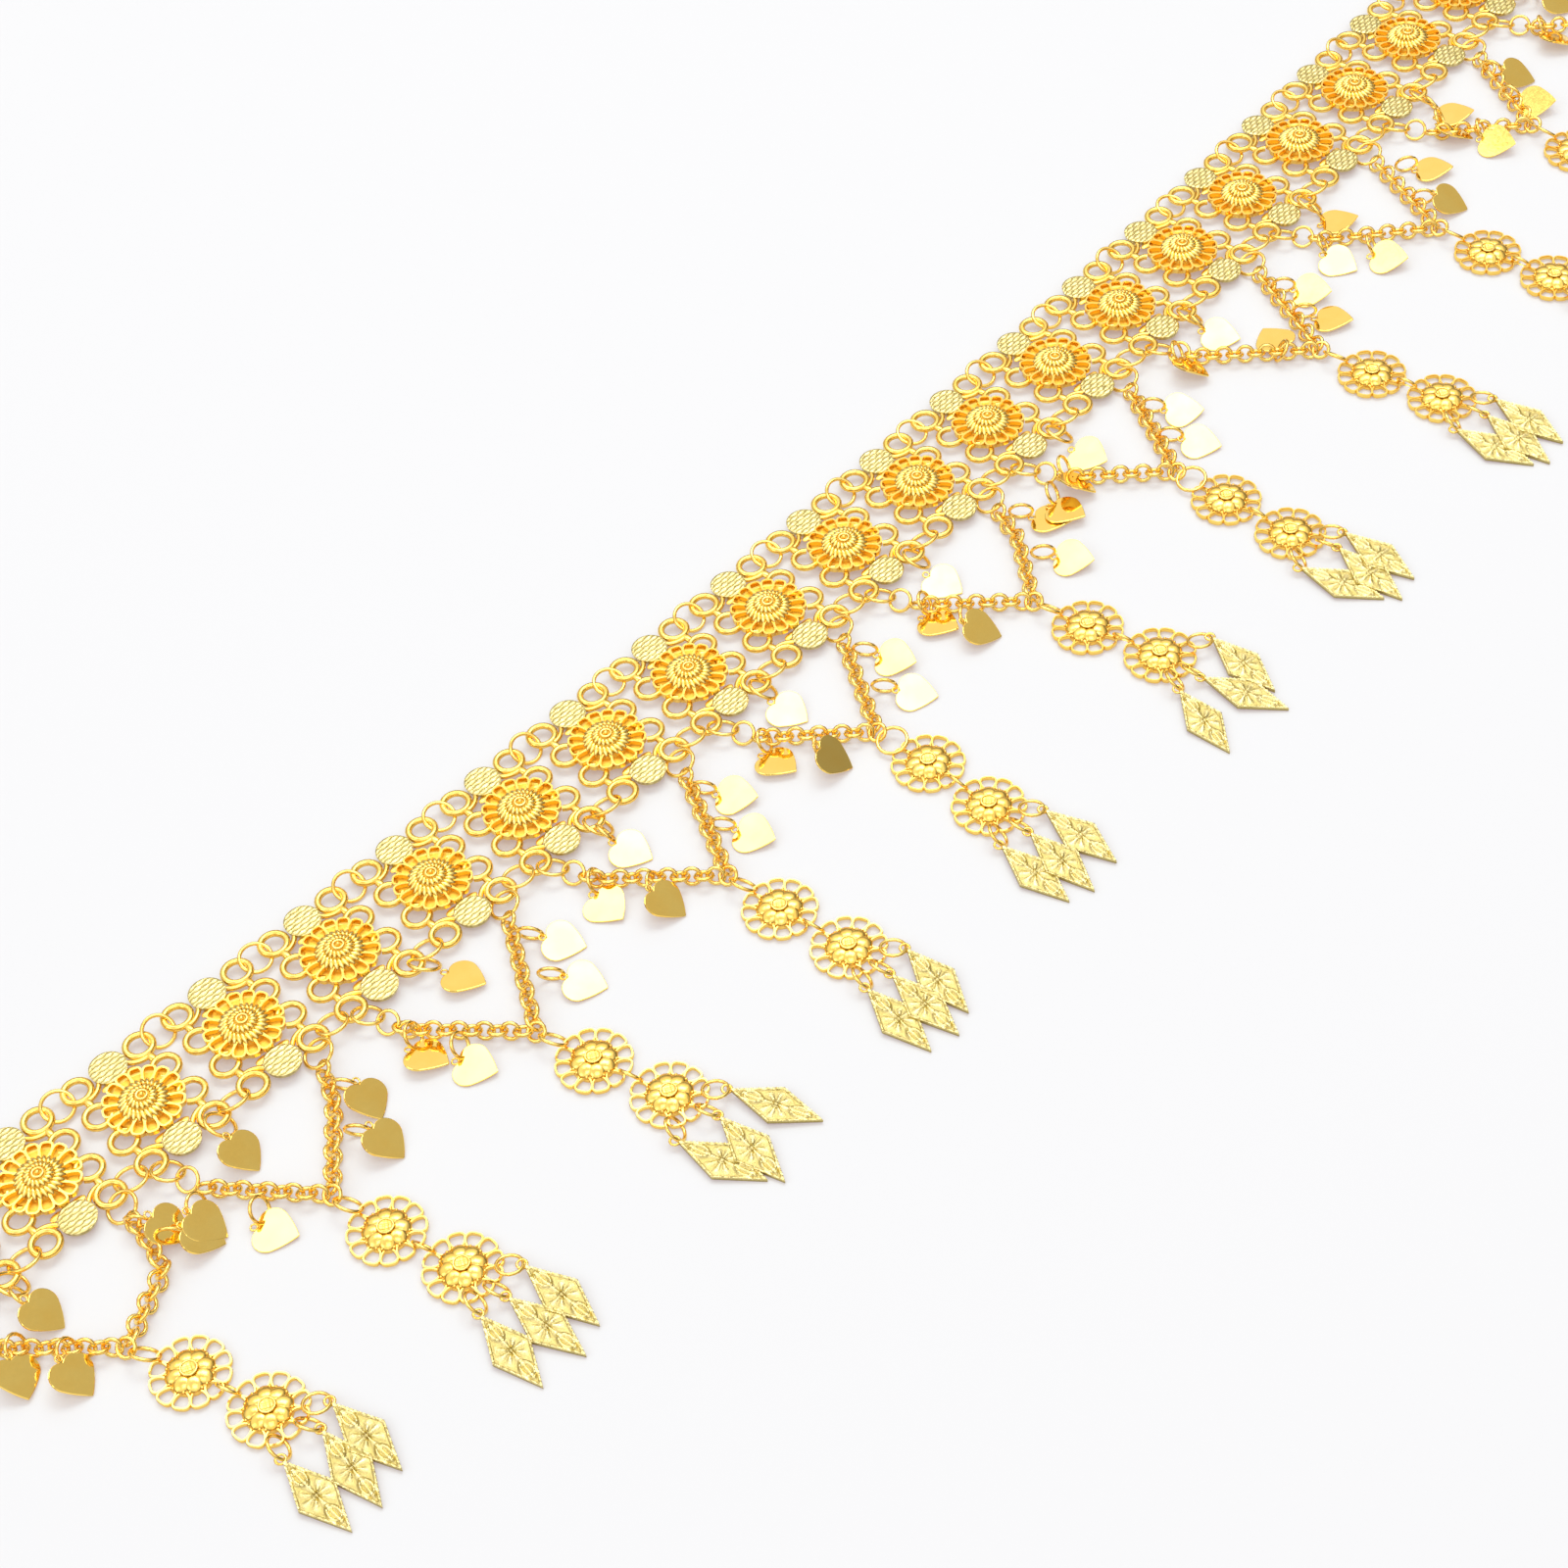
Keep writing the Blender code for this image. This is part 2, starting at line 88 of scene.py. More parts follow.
def swingDirection(degrees):          # from straight across the belt, positive towards its ring end
    return Vector((math.sin(math.radians(degrees)), -math.cos(math.radians(degrees))))


def heading(direction):               # turns +X to a direction in the floor's plane
    return turnZ(math.degrees(math.atan2(direction.y, direction.x)))


def unitMiddle(unit):
    return (2 * unit - (belt["units"] - 1)) * belt["pitch"]


# Shapes

def keepShape(bm, name, sharp=62):
    bmesh.ops.remove_doubles(bm, verts=bm.verts, dist=0.001)
    bmesh.ops.recalc_face_normals(bm, faces=bm.faces)
    shape = bpy.data.meshes.new(name)
    bm.to_mesh(shape)
    bm.free()
    shape.shade_smooth()
    shape.set_sharp_from_angle(angle=math.radians(sharp))
    # Every point starts with no painted shade
    shape.attributes.new("hollow", "FLOAT", "POINT")
    return shape


def withHollowShade(shape, depthAt):
    # Marks how deep each point lies in the pattern, from 0 to 1, for the finish to darken with painted shade
    depths = [min(1.0, max(0.0, depthAt(*vertex.co))) for vertex in shape.vertices]
    shape.attributes["hollow"].data.foreach_set("value", depths)
    return shape


def wireRing(radius, wire, steps=18, sides=6, sweep=360.0, tall=1.0):
    # A ring of round wire, or an arc of it whose middle lies at +X; tall stretches the wire upwards
    bm = bmesh.new()
    section = shift(radius) @ turnX(90) @ turnZ(180 / sides)
    bmesh.ops.create_circle(bm, segments=sides, radius=wire, matrix=section)
    bmesh.ops.scale(bm, vec=(1, 1, tall), verts=bm.verts)
    bmesh.ops.spin(
        bm, geom=bm.edges[:], cent=(0, 0, 0), axis=(0, 0, 1), angle=math.radians(sweep),
        steps=steps, use_merge=sweep == 360.0,
    )
    if sweep < 360.0:
        bmesh.ops.holes_fill(bm, edges=[edge for edge in bm.edges if edge.is_boundary], sides=0)
    bmesh.ops.rotate(bm, matrix=turnZ(-sweep / 2), verts=bm.verts)
    return keepShape(bm, "wireRing")


def wireLoop(path, wire, steps, sides, tall=1.0):
    # A ring bent to a closed path; path gives a point for a turn in radians
    plainRadius, nearBy = 10.0, 0.01
    shape = wireRing(plainRadius, wire, steps, sides, tall=tall)
    for vertex in shape.vertices:
        angle = math.atan2(vertex.co.y, vertex.co.x)
        offset = math.hypot(vertex.co.x, vertex.co.y) - plainRadius
        before, after = path(angle - nearBy), path(angle + nearBy)
        tangent = (after - before).normalized()
        spot = path(angle) + Vector((tangent.y, -tangent.x)) * offset
        vertex.co = (spot.x, spot.y, vertex.co.z)
    return shape


def turned(profile, steps):
    # The profile runs from the axis, over the top and down the outer side, and back to the axis
    bm = bmesh.new()
    corners = [bm.verts.new((radius, 0, height)) for radius, height in profile]
    edges = [bm.edges.new(pair) for pair in zip(corners, corners[1:])]
    bmesh.ops.spin(
        bm, geom=edges, cent=(0, 0, 0), axis=(0, 0, 1), angle=math.radians(360), steps=steps, use_merge=True
    )
    return keepShape(bm, "turned")


def stamped(outline, thick, edge):
    # A flat plate from an outline, its middle at the floor's plane, with rounded edges
    bm = bmesh.new()
    face = bm.faces.new([bm.verts.new((x, y, -thick / 2)) for x, y in outline])
    lifted = bmesh.ops.extrude_face_region(bm, geom=[face])["geom"]
    tops = [item for item in lifted if isinstance(item, bmesh.types.BMVert)]
    bmesh.ops.translate(bm, vec=(0, 0, thick), verts=tops)
    rims = [rim for rim in bm.edges if abs(rim.verts[0].co.z - rim.verts[1].co.z) < thick / 2]
    bmesh.ops.bevel(bm, geom=rims, offset=edge, segments=2, profile=0.5, affect="EDGES", material=-1)
    return keepShape(bm, "stamped", 18)


def arc(centreX, centreY, radius, start, end, count):
    angles = [math.radians(start + (end - start) * index / (count - 1)) for index in range(count)]
    return [(centreX + radius * math.cos(angle), centreY + radius * math.sin(angle)) for angle in angles]


def joinShapes(parts):
    # Each part is a shape, its place and its finish, as a slot number
    bm = bmesh.new()
    for shape, place, finish in parts:
        copy = shape.copy()
        copy.transform(place)
        copy.polygons.foreach_set("material_index", [finish] * len(copy.polygons))
        bm.from_mesh(copy)
        bpy.data.meshes.remove(copy)
    joined = bpy.data.meshes.new("joined")
    bm.to_mesh(joined)
    bm.free()
    return joined


# Finishes

class Sock:
    # Wraps a socket, so that maths on a pattern reads as plain arithmetic
    def __init__(self, nodes, socket):
        self.nodes, self.socket = nodes, socket

    def maths(self, operation, *values):
        return self.nodes.node("ShaderNodeMath", {"operation": operation}, dict(enumerate(values)))

    def __add__(self, other):
        return self.maths("ADD", self, other)

    def __mul__(self, other):
        return self.maths("MULTIPLY", self, other)

    __radd__ = __add__
    __rmul__ = __mul__


class Nodes:
    # Fills the node tree of a finish or of the world
    def __init__(self, tree):
        self.tree = tree

    def node(self, kind, settings, inputs, output=0):
        made = self.tree.nodes.new(kind)
        for name, value in settings.items():
            if name == "stops":
                self.fillRamp(made.color_ramp.elements, value)
            else:
                setattr(made, name, value)
        for name, value in inputs.items():
            self.feed(made.inputs[name], value)
        return Sock(self, made.outputs[output])

    def fillRamp(self, elements, stops):          # each stop is a position and a colour
        for stop in stops[2:]:
            elements.new(stop[0])
        for element, (position, colour) in zip(elements, stops):
            element.position, element.color = position, colour

    def feed(self, socket, value):
        if isinstance(value, Sock):
            self.tree.links.new(value.socket, socket)
        else:
            socket.default_value = value

    def range(self, value, low, high, first, second):
        values = {"Value": value, "From Min": low, "From Max": high, "To Min": first, "To Max": second}
        return self.node("ShaderNodeMapRange", {}, values)


class Finish(Nodes):
    def __init__(self, name):
        self.material = bpy.data.materials.new(name)
        self.material.use_nodes = True
        super().__init__(self.material.node_tree)
        self.shader = self.tree.nodes["Principled BSDF"]
        self.place = self.node("ShaderNodeTexCoord", {}, {}, "Object")

    def noise(self, size, detail=2.0):            # size of its lumps, in mm
        values = {"Vector": self.place, "Scale": 1 / (size * metre), "Detail": detail}
        return self.node("ShaderNodeTexNoise", {}, values, "Fac")

    def mixed(self, factor, first, second):
        return self.node("ShaderNodeMix", {"data_type": "RGBA"}, {0: factor, 6: first, 7: second}, 2)

    def bump(self, height, strength, depth):      # depth in mm
        values = {"Height": height, "Strength": strength, "Distance": depth * metre}
        return self.node("ShaderNodeBump", {}, values)

    def hollow(self):
        return self.node("ShaderNodeAttribute", {"attribute_name": "hollow"}, {}, "Fac")

    def set(self, **values):
        for name, value in values.items():
            self.feed(self.shader.inputs[name.replace("_", " ")], value)


def goldFinish(look):
    # Deep and bright patches under a fine grain; the hollows get painted shade, darker, and are duller
    finish = Finish(look["name"])
    patches = finish.noise(look["patchSize"])
    grain = finish.noise(look["grainSize"], 4.0)
    colour = finish.mixed(finish.range(patches, 0.35, 0.65, 0, 1), (*look["deep"], 1), (*look["bright"], 1))
    # Painted shade: deep points are mixed towards the look's dark colour for hollows
    colour = finish.mixed(finish.hollow(), colour, (*look["hollow"], 1))
    rough = finish.range(grain, 0.3, 0.7, look["smooth"], look["rough"]) + 0.25 * finish.hollow()
    relief = finish.bump(grain + 2.0 * patches, look["unevenness"], look["depth"])
    finish.set(Base_Color=colour, Metallic=1.0, Roughness=rough, Normal=relief)
    return finish.material


goldLooks = [                        # sizes and depth in mm
    # The colour given for hollows in each look is painted shade, laid over the deep points of a pattern
    {"name": "castGold",
     "deep": (0.98, 0.63, 0.125), "bright": (1.0, 0.71, 0.175), "hollow": (0.5, 0.24, 0.02),
     "patchSize": 3.0, "grainSize": 0.35, "smooth": 0.14, "rough": 0.24, "unevenness": 0.2, "depth": 0.05},
    {"name": "stampedGold",
     "deep": (0.74, 0.62, 0.25), "bright": (0.86, 0.73, 0.34), "hollow": (0.34, 0.26, 0.06),
     "patchSize": 2.0, "grainSize": 0.35, "smooth": 0.22, "rough": 0.34, "unevenness": 0.8, "depth": 0.12},
    {"name": "domeGold",
     "deep": (0.98, 0.72, 0.19), "bright": (1.0, 0.80, 0.27), "hollow": (0.42, 0.24, 0.03),
     "patchSize": 2.0, "grainSize": 0.3, "smooth": 0.2, "rough": 0.3, "unevenness": 0.15, "depth": 0.04},
    {"name": "wireGold",
     "deep": (1.0, 0.64, 0.14), "bright": (1.0, 0.73, 0.20), "hollow": (0.5, 0.24, 0.02),
     "patchSize": 2.5, "grainSize": 0.5, "smooth": 0.1, "rough": 0.18, "unevenness": 0.15, "depth": 0.05},
    {"name": "mirrorGold",
     "deep": (1.0, 0.68, 0.15), "bright": (1.0, 0.72, 0.18), "hollow": (0.5, 0.3, 0.05),
     "patchSize": 6.0, "grainSize": 0.7, "smooth": 0.04, "rough": 0.1, "unevenness": 0.04, "depth": 0.04},
    {"name": "bowlGold",
     "deep": (1.0, 0.65, 0.13), "bright": (1.0, 0.73, 0.18), "hollow": (0.86, 0.54, 0.08),
     "patchSize": 2.0, "grainSize": 0.4, "smooth": 0.26, "rough": 0.38, "unevenness": 0.2, "depth": 0.05},
]
castGold, stampedGold, domeGold, wireGold, mirrorGold, bowlGold = range(6)
finishes = [goldFinish(look) for look in goldLooks]
print("finishes made")


def finishPiece(name, parts, place, replaced):
    mesh = joinShapes(parts)
    mesh.transform(Matrix.Scale(metre, 4) @ place)
    for finish in finishes:
        mesh.materials.append(finish)
    piece = bpy.data.objects.new(name, mesh)
    bpy.context.scene.collection.objects.link(piece)
    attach(piece, "root")
    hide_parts(replaced)


# Plaque: an open cast frame, a ring of petals and a stepped dome

plaque = {
    "eyelet": (7.35, 11.95),      # corner eyelets, along and across the belt
    "eyeletRadius": 2.72,         # middle of the wire
    "wire": 0.72,                 # wire radius of the frame
    "lobe": (7.95, 4.15),
    "lobeRadius": 2.6,
    "lobeSweep": 285,
    "discAcross": 11.86,
    "discRadius": 3.8,
    "discTop": 0.55,              # above the middle of the frame
    "discRelief": 0.2,
    "discRim": 0.35,              # breadth of the plain slope round the pattern
    "discDeep": 1.0,              # how far the disc's wall goes down, and how much it narrows
    "discTaper": 0.94,
    "grooves": (0.92, 0.15, 2.3, 0.28),   # pitch, height and length of a wave, half breadth
    "bowl": [(0.0, 0.1), (6.9, 0.1), (7.3, 0.6), (7.3, -0.3), (0.0, -0.3)],
    "junction": (7.4, 8.0),       # the web between a lobe and an eyelet
    "webSize": (0.85, 1.75, 0.6),
    "strut": (6.89, 12.89, -0.1),   # centre of the bent strut from the web to a disc
    "strutBend": (4.29, 0.56, 8, 8, 58),
    "strutWay": (-0.447, -0.894),
    "pad": (2.3, 8.5, -0.25),     # small ledge between the petals and a disc
    "padSize": (1.7, 0.9, 0.3),
    "petals": 16,
    "petalEnds": (3.9, 7.9),      # middle of a petal's wall, nearest and farthest
    "petalWall": (0.27, 2.9, 0.85),   # half its breadth, how much taller than wide, height of its middle
    "petalSquare": 0.62,          # the lower it is, the fuller the petals' corners
    "petalCup": (0.95, 0.4, 0.7),     # height, slope and depth of the bowl that fills it
    # how much painted shade fills each petal's bowl
    "cupHollowShade": 0.85,
    "linkRing": (12.0, 3.2, 0.42),    # linking ring: from the plaque's centre, radius and wire
    "linkTilts": [(25, -25), (18, -14), (32, -30), (14, -20)],
}


def petalPath(ends, count, square):
    # Neighbouring petals' walls run into one another; a lower square fills the corners more
    near, far = ends

    def path(angle):
        reach = (near + far) / 2 + (far - near) / 2 * math.cos(angle)
        share = 0.97 * abs(math.sin(angle)) ** square        # of half the way to the next petal
        return Vector((reach, math.copysign(reach * math.tan(math.pi / count) * share, math.sin(angle))))
    return path


def petalRing(ends, count, wall, square, first=0.0, sides=4):
    # Every other petal stands a little higher, so that no two walls share a face
    radius, tall, height = wall
    loop = wireLoop(petalPath(ends, count, square), radius, 24, sides, tall)
    return [
        (loop, shift(0, 0, height + 0.03 * (index % 2)) @ turnZ(360 * (index + first) / count), castGold)
        for index in range(count)
    ]


def petalCup(ends, count, square):
    # A shallow bowl that fills a petal
    path = petalPath(ends, count, square)
    height, slope, depth = plaque["petalCup"]
    bm = bmesh.new()
    outline = [path(math.radians(15 * step)) for step in range(24)]
    face = bm.faces.new([bm.verts.new((spot.x, spot.y, height)) for spot in outline])
    bmesh.ops.inset_region(bm, faces=[face], thickness=slope)
    bmesh.ops.translate(bm, vec=(0, 0, -depth), verts=face.verts)
    return keepShape(bm, "petalCup", 80)


dome = {
    "cone": [(0.0, 2.95), (1.2, 2.8), (2.6, 2.15), (3.9, 1.35), (5.0, 0.7), (5.0, 0.2), (0.0, 0.2)],
    "tiers": [                    # slender lobes: count, reach, height, half sizes, dip and twist
        {"count": 26, "reach": 4.0, "height": 1.6, "size": (1.35, 0.5, 0.6), "dip": 28, "twist": 22},
        {"count": 17, "reach": 2.3, "height": 2.5, "size": (0.95, 0.43, 0.5), "dip": 26, "twist": 22},
    ],
    "collar": (1.05, 0.3, 3.0),   # radius, wire and height of the ring round the ball on top
    "ball": (0.5, 3.12),
}


def roundedLobe(size, around=8, along=8):
    bm = bmesh.new()
    bmesh.ops.create_uvsphere(bm, u_segments=around, v_segments=along, radius=1.0, matrix=turnY(90))
    bmesh.ops.scale(bm, vec=size, verts=bm.verts)
    return keepShape(bm, "lobe", 80)


def domeParts():
    # The cone under the lobes is painted shade all over, so the gaps between the lobes look dark
    cone = withHollowShade(turned(dome["cone"], 32), lambda x, y, z: 1.0)
    parts = [(cone, shift(0, 0, 0), bowlGold)]
    for tier in dome["tiers"]:
        lobe = roundedLobe(tier["size"])
        lying = shift(tier["reach"], 0, tier["height"]) @ turnZ(tier["twist"]) @ turnY(tier["dip"])
        parts += [
            (lobe, turnZ(360 * index / tier["count"]) @ lying, domeGold) for index in range(tier["count"])
        ]
    radius, wire, height = dome["collar"]
    parts.append((wireRing(radius, wire, 20, 8), shift(0, 0, height), domeGold))
    size, height = dome["ball"]
    parts.append((roundedLobe((size, size, size), 12, 8), shift(0, 0, height), castGold))
    return parts


def discPattern(x, y):
    # Rows of wavy grooves along the belt, every other one turned over; 0 in a groove and 1 between
    pitch, waveHeight, waveLength, half = plaque["grooves"]
    row = round(y / pitch)
    wave = pitch * row + waveHeight * math.sin(2 * math.pi * x / waveLength + math.pi * (row % 2))
    return min(1.0, abs(y - wave) / half)


# Painted shade: full in the grooves, none between them, and some on the disc's side wall
def discHollowShade(x, y, z):
    return 1 - discPattern(x, y) if z > plaque["discTop"] - 0.1 else 0.3


def discShape():
    radius, top, taper = plaque["discRadius"], plaque["discTop"], plaque["discTaper"]
    bm = bmesh.new()
    bmesh.ops.create_grid(bm, x_segments=44, y_segments=44, size=1.0)
    for vertex in bm.verts:
        u, v = vertex.co.x, vertex.co.y        # the square is rounded to a disc
        x = radius * u * math.sqrt(1 - v * v / 2)
        y = radius * v * math.sqrt(1 - u * u / 2)
        inside = min(1.0, max(0.0, (radius - math.hypot(x, y)) / plaque["discRim"]))
        vertex.co = (x, y, top + plaque["discRelief"] * inside * discPattern(x, y))
    rim = [edge for edge in bm.edges if edge.is_boundary]
    lowered = bmesh.ops.extrude_edge_only(bm, edges=rim)["geom"]
    corners = [item for item in lowered if isinstance(item, bmesh.types.BMVert)]
    bmesh.ops.translate(bm, vec=(0, 0, -plaque["discDeep"]), verts=corners)
    bmesh.ops.scale(bm, vec=(taper, taper, 1), verts=corners)
    bmesh.ops.holes_fill(bm, edges=[edge for edge in bm.edges if edge.is_boundary], sides=0)
    return withHollowShade(keepShape(bm, "disc"), discHollowShade)


def mirroredSpot(spot, signX, signY):
    return shift(signX * spot[0], signY * spot[1], *spot[2:])


def plaqueParts():
    ends, count, square = plaque["petalEnds"], plaque["petals"], plaque["petalSquare"]
    eyelet = wireRing(plaque["eyeletRadius"], plaque["wire"], 20, 8)
    lobe = wireRing(plaque["lobeRadius"], plaque["wire"], 16, 8, plaque["lobeSweep"])
    strut = wireRing(*plaque["strutBend"])
    bowl = turned(plaque["bowl"], 48)
    # Each petal's bowl is darkened with painted shade
    cup = withHollowShade(petalCup(ends, count, square), lambda x, y, z: plaque["cupHollowShade"])
    disc = discShape()
    web = roundedLobe(plaque["webSize"], 12, 8)
    pad = roundedLobe(plaque["padSize"], 12, 8)
    parts = petalRing(ends, count, plaque["petalWall"], square)
    parts += domeParts() + [(bowl, shift(0, 0, 0), bowlGold)]
    parts += [(cup, turnZ(360 * index / count), bowlGold) for index in range(count)]
    wayX, wayY = plaque["strutWay"]
    for signX in (1, -1):
        for signY in (1, -1):
            lobeTurn = turnZ(0 if signX > 0 else 180)
            strutTurn = turnZ(math.degrees(math.atan2(signY * wayY, signX * wayX)))
            parts += [
                (eyelet, mirroredSpot(plaque["eyelet"], signX, signY), castGold),
                (lobe, mirroredSpot(plaque["lobe"], signX, signY) @ lobeTurn, castGold),
                (web, mirroredSpot(plaque["junction"], signX, signY), castGold),
                (pad, mirroredSpot(plaque["pad"], signX, signY), bowlGold),
                (strut, mirroredSpot(plaque["strut"], signX, signY) @ strutTurn, castGold),
            ]
    for signY in (1, -1):
        parts.append((disc, shift(0, signY * plaque["discAcross"]), stampedGold))
    return [(shape, shift(0, 0, belt["plateMid"]) @ place, finish) for shape, place, finish in parts]


def makePlaques():
    parts = plaqueParts()
    reach, radius, wire = plaque["linkRing"]
    linkRing = wireRing(radius, wire, 24, 8)
    for index in range(2 * belt["units"]):
        rings = []
        for sign, tilt in zip((1, -1), plaque["linkTilts"][index % len(plaque["linkTilts"])]):
            spot = shift(reach, sign * plaque["eyelet"][1], belt["plateMid"])
            rings.append((linkRing, spot @ turnX(tilt), wireGold))
        name = f"plaque_{index + 1:02d}"
        place = beltPlace((index - belt["units"] + 0.5) * belt["pitch"])
        finishPiece("plaquePiece" + name[-2:], parts + rings, place, name)
    print("plaques made")


# Swag: two legs of round links, hung from the eyelets and joined at the vee, and its hearts

swag = {
    "eyelets": {"left": (-19.6, -11.6), "right": (19.6, -11.6)},
    "hang": (3.1, 0.4),            # first ring of a leg: radius and wire
    "hangTilt": 24,
    "hangReach": 4.2,              # its middle, from the eyelet's
    "second": (2.3, 0.38),         # a second ring, on the left legs only
    "secondTilt": 38,
    "secondHeight": 1.95,
    "secondOverlap": 0.82,         # how far a ring reaches into the one before it
    "linkOverlap": 0.78,
    "link": {"left": (1.74, 0.44), "right": (1.82, 0.44)},
    "linkPitch": {"left": 2.45, "right": 2.35},
    "height": {"left": 2.05, "right": 1.75},
    "leftBend": (0.32, -2.2, -2.6),   # left legs hang straight down first: share of the leg, then aside
    "rolls": {"left": (-25, 65), "right": (45, -45)},
    "veeHeight": 1.9,
    "veeRoll": 35,
    "flowerRing": (2.75, 0.38),
    "flowerRingReach": 3.9,        # its middle, from the vee
    "flowerRingRoll": -42,
}

units = [
    # vee; swing of the two flower arms; where the drops leave the lower flower; how they point;
    # bends of the right leg; a larger ring at the vee, with its roll
    {"vee": (2.2, -41.0), "arms": (24, 18), "leave": (-24, 20, 48), "point": (1, -5, 2),
     "right": [(18.2, -26.0), (16.5, -32.5)]},
    {"vee": (-0.7, -42.7), "arms": (10, 15), "leave": (-24, 6, 42), "point": (-5, 6, 4),
     "right": [(12.5, -26.7)]},
    {"vee": (0.7, -43.1), "arms": (14, 14), "leave": (-36, 12, 44), "point": (17, -5, 22)},
    {"vee": (2.9, -43.8), "arms": (5, 6), "leave": (-29, 0, 34), "point": (-7, -5, -9)},
    {"vee": (0.7, -41.0), "arms": (4, -3), "leave": (-37, -4, 29), "point": (-5, -8, -2),
     "ring": ((3.1, 0.4), 12)},
    {"vee": (0.0, -42.4), "arms": (8, 10), "leave": (-32, -2, 58), "point": (-20, 14, -10),
     "right": [(12.6, -27.4)]},
    {"vee": (0.4, -42.4), "arms": (1, -1), "leave": (-44, 8, 32), "point": (12, -11, -5),
     "ring": ((3.1, 0.4), 12)},
    {"vee": (2.0, -45.0), "arms": (4, 7), "leave": (-42, 0, 28), "point": (4, -12, -7)},
    {"vee": (3.7, -43.8), "arms": (-1, 2), "leave": (-30, 2, 36), "point": (0, -6, 3)},
    {"vee": (-0.6, -42.1), "arms": (-8, 3), "leave": (-28, 4, 38), "point": (-4, 2, 6)},
    {"vee": (1.5, -42.6), "arms": (6, 9), "leave": (-34, 6, 40), "point": (3, -5, 4)},
]

hearts = [
    # inside the vee, then upper and lower on the left leg, and upper and lower on the right leg:
    # the eye along and across, the swing, and how the heart lies
    [(-5.3, -21.4, 26, "olive"), (-14.0, -28.5, -5, "olive"), (-8.0, -36.0, 14, "olive"),
     (21.1, -23.2, 30, "olive"), (24.0, -29.5, 38, "olive")],
    [(-6.6, -19.6, 12, "olive"), (-21.9, -27.7, 27, "olive"), (-14.4, -37.1, 31, "cream"),
     (18.0, -27.6, 0, "olive"), (13.2, -37.6, 14, "olive")],
    [(-1.1, -18.9, 24, "gold"), (-18.0, -27.8, 20, "gold"), (-13.6, -36.3, 25, "cream"),
     (17.2, -27.2, 32, "white"), (13.4, -37.5, 30, "white")],
    [(-5.8, -20.4, 19, "white"), (-17.5, -26.6, -1, "cream"), (-10.5, -36.1, 17, "olive"),
     (17.1, -26.7, 33, "cream"), (12.9, -36.3, 21, "cream")],
    [(-6.6, -18.7, 10, "white"), (-18.0, -26.6, 6, "gold"), (-12.0, -36.7, 30, "brown"),
     (17.4, -26.3, 22, "cream"), (12.3, -36.2, 32, "white")],
    [(-7.5, -19.6, 9, "white"), (-17.0, -26.4, 12, "gold"), (-14.8, -36.0, 31, "olive"),
     (20.4, -25.6, 26, "gold"), (13.7, -37.2, 26, "cream")],
    [(-7.0, -19.9, 9, "cream"), (-23.5, -26.8, 8, "over"), (-15.6, -23.8, 12, "edge"),
     (15.1, -28.4, 40, "white"), (9.9, -37.1, 25, "white")],
    [(-7.5, -19.9, 23, "white"), (-19.6, -21.3, 8, "edge"), (-1.5, -37.0, 155, "gold"),
     (16.3, -28.4, 24, "cream"), (11.7, -37.3, 22, "gold")],
    [(-8.7, -20.2, 46, "gold"), (-18.9, -27.3, 5, "white"), (-12.7, -36.2, 22, "cream"),
     (20.3, -27.4, 30, "gold"), (11.8, -37.4, 20, "olive")],
    [(-8.0, -21.0, 36, "gold"), (-13.2, -24.4, 10, "edge"), (-11.4, -34.6, 14, "cream"),
     (12.7, -26.1, 24, "olive"), (6.0, -35.0, 26, "cream")],
    [(-4.7, -19.8, 18, "olive"), (-16.8, -26.5, 0, "edge"), (-11.2, -35.7, 16, "cream"),
     (17.4, -26.9, 24, "gold"), (13.2, -36.5, 20, "white")],
]

heart = {
    "arcs": [                         # half the outline: centre, radius, start, end, points
        (-10.47, 6.13, 18.0, -53.6, -36.0, 5),
        (1.75, -2.75, 2.9, -36.0, 127.0, 15),
    ],
    "tip": -8.45,                     # the eye is at the origin
    "thick": 0.42,
    "rounding": 0.11,
    "eye": (0.68, 0.22),
    "eyeUp": 0.5,
    "ring": (2.5, 0.38),
    "ringShort": 0.2,                 # the ring's wire stops this much short of the eye
    "ringRoll": {"left": -60, "right": -76},
    "lead": {"left": 0.0, "right": 2.4},   # how much further up its leg a ring starts
    "clearance": 0.06,                # above the ground
    "lies": {                         # what its face mirrors: azimuth from +Y to +X, height angle; its lift
        "white": (62, 66, 0), "cream": (12, 60, 0), "gold": (44, 31, 0), "over": (44, 30, 0.6),
        "olive": (100, 38, 0), "brown": (108, 24, 0), "edge": (66, -7, 0),
    },
}


def wayTo(start, end):
    return (Vector(end) - Vector(start)).normalized()


def ringAt(ring, centre, height, direction, roll, steps=16, sides=6):
    # A jump ring; roll turns it about its direction out of the floor's plane
    place = shift(centre.x, centre.y, height) @ heading(direction) @ turnX(roll)
    return (wireRing(*ring, steps, sides), place, wireGold)


